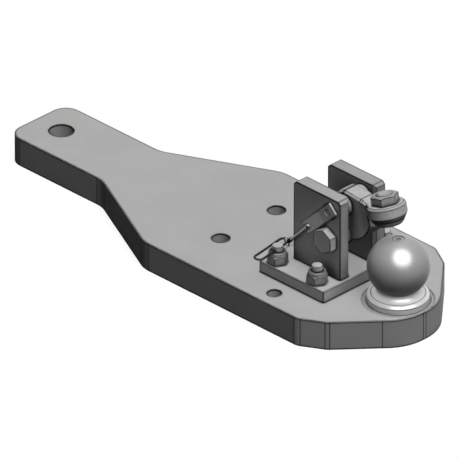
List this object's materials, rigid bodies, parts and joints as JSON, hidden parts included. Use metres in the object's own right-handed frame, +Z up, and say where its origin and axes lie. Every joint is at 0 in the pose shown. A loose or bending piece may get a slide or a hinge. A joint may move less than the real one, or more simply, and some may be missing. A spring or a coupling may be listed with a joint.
{
  "type": "hitch mounting plate",
  "caption": "Thick steel drawbar plate that carries a tow ball and a bolted bracket whose pinned arm holds the coupling down on the ball.",
  "frame": {"origin": "axis of the tail bore at the plate's underside", "axes": "+X along the plate from the tail bore to the tow ball, +Z up out of the plate, -Y to the side with the pin's strap"},
  "size_m": [0.6955, 0.25, 0.1855],
  "materials": {
    "plate_steel": "satin grey, flame-cut plate",
    "ball_steel": "turned and polished",
    "bracket_steel": "satin grey",
    "arm_steel": "satin grey casting",
    "fastener_steel": "machined",
    "pin_steel": "machined",
    "bush_brass": "machined",
    "strap_steel": "satin grey",
    "wire_steel": "drawn wire"
  },
  "bodies": {
    "plate": {"drawbar_plate": "plate_steel", "tow_ball": "ball_steel", "ball_ring_nut": "fastener_steel", "bracket_base": "bracket_steel", "near_cheek": "bracket_steel", "far_cheek": "bracket_steel", "near_pivot_spacer": "fastener_steel", "far_pivot_spacer": "fastener_steel", "pivot_bolt": "fastener_steel", "pivot_nut": "fastener_steel", "pivot_bush": "bush_brass", "hold_down_arm": "arm_steel", "lock_nut": "fastener_steel", "tether_loop": "wire_steel", "tether_cable": "wire_steel", "base_stud_1": "fastener_steel", "base_nut_1": "fastener_steel", "base_stud_2": "fastener_steel", "base_nut_2": "fastener_steel", "base_stud_3": "fastener_steel", "base_nut_3": "fastener_steel", "base_stud_4": "fastener_steel", "base_nut_4": "fastener_steel"},
    "lock_pin": {"lock_pin": "pin_steel", "grip_strap": "strap_steel"},
    "thrust_screw": {"thrust_screw": "pin_steel", "thrust_pad": "pin_steel"}
  },
  "joints": [
    {"name": "lock_pin_slide", "type": "slide", "parent": "plate", "child": "lock_pin", "axis": [0, -1, 0], "range_m": [0, 0.055]},
    {"name": "thrust_screw_travel", "type": "slide", "parent": "plate", "child": "thrust_screw", "axis": [0.2588, 0, -0.9659], "range_m": [0, 0.008]}
  ]
}
